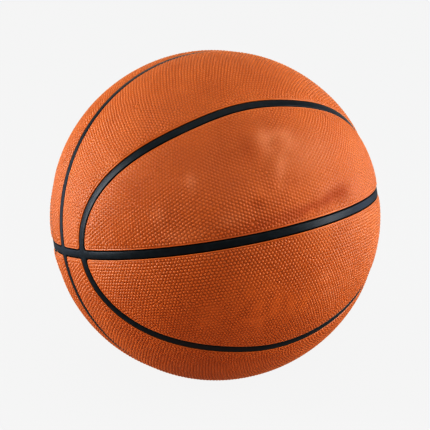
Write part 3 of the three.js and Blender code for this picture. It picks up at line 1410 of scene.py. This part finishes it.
@dataclass(frozen=True)
class ValvePlug:
    """The rubber valve plug, turned about its axis: shank, flange, and a blind needle hole.

    The section is a list of radii and depths below the ball's surface, from the plug's inner
    end round to the needle hole's floor.
    """

    place: ValvePlace = ValvePlace()
    sides: int = 48
    section: tuple[tuple[float, float], ...] = (
        (0.0, 12.0), (2.4, 12.0), (2.9, 11.8), (3.1, 11.3), (3.1, 8.2), (3.3, 7.95),
        (6.6, 7.9), (6.9, 7.7), (7.0, 7.3), (6.9, 6.75), (6.5, 6.5), (3.4, 6.4),
        (3.1, 6.2), (3.1, 1.0), (3.0, 0.7), (2.7, 0.52), (1.9, 0.5), (1.5, 0.62),
        (1.1, 0.95), (0.9, 1.4), (0.9, 9.2), (0.6, 9.5), (0.0, 9.5),
    )

    def build(self, ball: Ball) -> bpy.types.Object:
        """Turns the section about the valve's axis.

        Args:
            ball: the ball's shape.

        Returns:
            The object.
        """
        axis = ball.turn @ (self.place.axis * np.array([-1.0, 1.0, 1.0]))
        right = unit(np.cross(np.array([0.0, 0.0, 1.0]), axis))
        up = np.cross(axis, right)
        around = np.linspace(0.0, 2.0 * math.pi, self.sides, endpoint=False)
        sideways = np.cos(around)[:, None] * right + np.sin(around)[:, None] * up
        points, rings = [], []
        for reach, depth in self.section:
            middle = ball.centre + (ball.radius - depth) * axis
            ring = middle[None] if reach == 0.0 else middle + reach * sideways
            rings.append(np.arange(len(points), len(points) + len(ring)))
            points.extend(ring)
        triangles = []
        for low, high in zip(rings, rings[1:]):
            low, high = np.resize(low, self.sides), np.resize(high, self.sides)
            low_next, high_next = np.roll(low, -1), np.roll(high, -1)
            if len(set(low)) > 1:
                triangles.append(np.stack([low, low_next, high], axis=1))
            if len(set(high)) > 1:
                triangles.append(np.stack([low_next, high_next, high], axis=1))
        return write_mesh("valve_plug", np.array(points), np.concatenate(triangles), {})


@dataclass(frozen=True)
class StudioPaper:
    """Pale seamless paper: even and matt, lit so flat that it hardly takes a shadow.

    It is clear from behind, so that the ball's underside can be looked at through it.
    """

    name: str = "seamless_paper"
    glow: str = "c2c2c2"
    paper: str = "1c1c1c"

    def make(self) -> bpy.types.Material:
        """Builds the material.

        Returns:
            The finished node material.
        """
        material, tree, _ = new_material(self.name)
        glow = add_node(tree, "Emission", {"Color": linear(self.glow)})
        paper = add_node(tree, "BsdfDiffuse", {"Color": linear(self.paper)})
        front = add_node(tree, "AddShader", {"0": glow.outputs[0], "1": paper.outputs[0]})
        behind = add_node(tree, "NewGeometry").outputs["Backfacing"]
        clear = add_node(tree, "BsdfTransparent")
        sheet = add_node(tree, "MixShader", {"0": behind, "1": front.outputs[0], "2": clear.outputs[0]})
        add_node(tree, "OutputMaterial", {"Surface": sheet.outputs[0]})
        return material


@dataclass(frozen=True)
class Softbox:
    """A square-fronted soft light, by where it stands round the ball.

    Its azimuth and elevation are in degrees, its distance and size in metres and its power in
    watts.
    """

    name: str
    azimuth: float
    elevation: float
    distance: float
    width: float
    height: float
    power: float
    colour: str = "ffffff"

    def stand(self, target: Vector) -> None:
        """Adds the light, aimed at the target.

        Args:
            target: what it lights, in metres.
        """
        light = bpy.data.lights.new(self.name, "AREA")
        light.shape = "RECTANGLE"
        light.size, light.size_y = self.width, self.height
        light.energy = self.power
        light.color = linear(self.colour)[:3]
        lamp = bpy.data.objects.new(self.name, light)
        lamp.visible_camera = False
        away = Vector((0.0, -self.distance, 0.0))
        away.rotate(Euler((-math.radians(self.elevation), 0.0, math.radians(self.azimuth))))
        lamp.location = target + away
        lamp.rotation_euler = (-away).to_track_quat("-Z", "Y").to_euler()
        bpy.context.scene.collection.objects.link(lamp)


@dataclass(frozen=True)
class Studio:
    """The plain pale room, its soft lights and the camera.

    The room's sizes and the camera's distance are in metres, and its lens is in mm.
    """

    floor_radius: float = 6.0
    sweep_radius: float = 5.0
    sweep_steps: int = 24
    sweep_sides: int = 96
    camera_distance: float = 1.92
    camera_elevation: float = math.radians(20.0)
    lens: float = 220.6
    softboxes: tuple[Softbox, ...] = (
        Softbox("left_softbox", -82.0, 11.0, 1.1, 0.4, 0.8, 8.2, "f4f8ff"),
        Softbox("left_rim_light", -118.0, 0.0, 1.1, 0.6, 0.9, 1.5, "c8dcff"),
        Softbox("right_softbox", 82.0, 12.0, 1.1, 0.5, 1.0, 8.0, "f4f8ff"),
        Softbox("right_rim_light", 118.0, 4.0, 1.1, 0.6, 0.9, 1.9, "c8dcff"),
        Softbox("top_softbox", 0.0, 90.0, 1.1, 1.2, 1.2, 2.8),
        Softbox("front_softbox", 12.0, 38.0, 1.5, 0.8, 0.8, 3.2),
        Softbox("paper_bounce", 0.0, -50.0, 1.1, 1.2, 1.2, 2.1, "ffa878"),
        Softbox("back_softbox", 180.0, 20.0, 1.1, 1.2, 1.2, 1.5),
    )
    room_tone: str = "8a8a8a"

    def build_room(self, paper: StudioPaper) -> None:
        """Lays a floor that sweeps up into a dome, and sets the surroundings.

        Args:
            paper: the floor's finish.
        """
        rise = np.linspace(-math.pi / 2.0, math.pi / 2.0, self.sweep_steps)
        bend = np.linspace(0.0, 1.0, self.sweep_steps) ** 2
        reach = np.cos(rise) * self.sweep_radius + self.floor_radius * (1.0 - bend)
        height = (np.sin(rise) + 1.0) * self.sweep_radius
        around = np.linspace(0.0, 2.0 * math.pi, self.sweep_sides, endpoint=False)
        ring = np.stack([np.cos(around), np.sin(around), np.zeros(self.sweep_sides)], axis=1)
        points = [ring * wide + np.array([0.0, 0.0, high]) for wide, high in zip(reach, height)]
        faces = [tuple(range(self.sweep_sides))]
        for step in range(self.sweep_steps - 1):
            low = step * self.sweep_sides
            for side in range(self.sweep_sides):
                ahead = (side + 1) % self.sweep_sides
                high = low + self.sweep_sides
                faces.append((low + ahead, low + side, high + side, high + ahead))
        mesh = bpy.data.meshes.new("floor")
        mesh.from_pydata(np.concatenate(points).tolist(), [], faces)
        mesh.polygons.foreach_set("use_smooth", np.ones(len(faces), bool))
        floor = bpy.data.objects.new("floor", mesh)
        floor.data.materials.append(paper.make())
        bpy.context.scene.collection.objects.link(floor)
        for ray in ("visible_diffuse", "visible_glossy", "visible_transmission", "visible_shadow"):
            setattr(floor, ray, False)

        world = bpy.data.worlds.new("studio")
        world.use_nodes = True
        tree = world.node_tree
        tree.nodes.clear()
        glow = add_node(tree, "Background", {"Color": linear(self.room_tone)})
        add_node(tree, "OutputWorld", {"Surface": glow.outputs[0]})
        bpy.context.scene.world = world

    def build_camera(self, target: Vector) -> None:
        """Stands the camera and makes it the scene's.

        Args:
            target: the point that it looks at, in metres.
        """
        camera = bpy.data.objects.new("camera", bpy.data.cameras.new("camera"))
        camera.data.lens = self.lens
        away = Vector((0.0, -self.camera_distance, 0.0))
        away.rotate(Euler((-self.camera_elevation, 0.0, 0.0)))
        camera.location = target + away
        camera.rotation_euler = (-away).to_track_quat("-Z", "Y").to_euler()
        bpy.context.scene.collection.objects.link(camera)
        bpy.context.scene.camera = camera

    def build(self, target: Vector) -> None:
        """Builds the room, the lights and the camera.

        Args:
            target: the ball's centre, in metres.
        """
        self.build_room(StudioPaper())
        for softbox in self.softboxes:
            softbox.stand(target)
        self.build_camera(target)
        bpy.context.scene.view_settings.view_transform = "Standard"
        bpy.context.scene.view_settings.look = "Very High Contrast"


def main() -> None:
    """Builds the ball from the cover inwards, then the studio round it."""
    logging.basicConfig(level=logging.INFO, format="%(name)s: %(message)s")
    ball, wear, painted_light = Ball(), Wear(), PaintedLight()

    cover = PebbledRubber().make()
    patterns = {shape: PanelPattern(shape).build() for shape in Field}
    # One panel's rows of pebbles run across its base seam, and one has the valve's hole.
    special = {
        "panel_front_inner_upper": PanelPattern(Field.INNER, grain=Grain.ACROSS).build(),
        "panel_back_inner_upper": PanelPattern(Field.INNER, valve=ValvePlace()).build(),
    }
    for shape in Field:
        for side in Side:
            for level in Level:
                panel = CoverPanel(shape, side, level)
                skin = special.get(panel.node, patterns[shape])
                dress(panel.build(skin, ball, wear, painted_light), cover, panel.node, "cover")

    dress(Carcass().build(ball), SatinRubber().make(), "carcass", "strip")
    winding = Shell(outside=3.1, inside=3.6).build("thread_winding", ball)
    dress(winding, WoundThread().make(), "winding", "thread")
    bladder = Shell(outside=3.9, inside=4.8).build("air_bladder", ball)
    dress(bladder, BLADDER_RUBBER.make(), "bladder", "bladder")
    dress(ValvePlug().build(ball), VALVE_RUBBER.make(), "valve", "valve")

    Studio().build(Vector(ball.centre * MM))


if __name__ == "__main__":
    main()
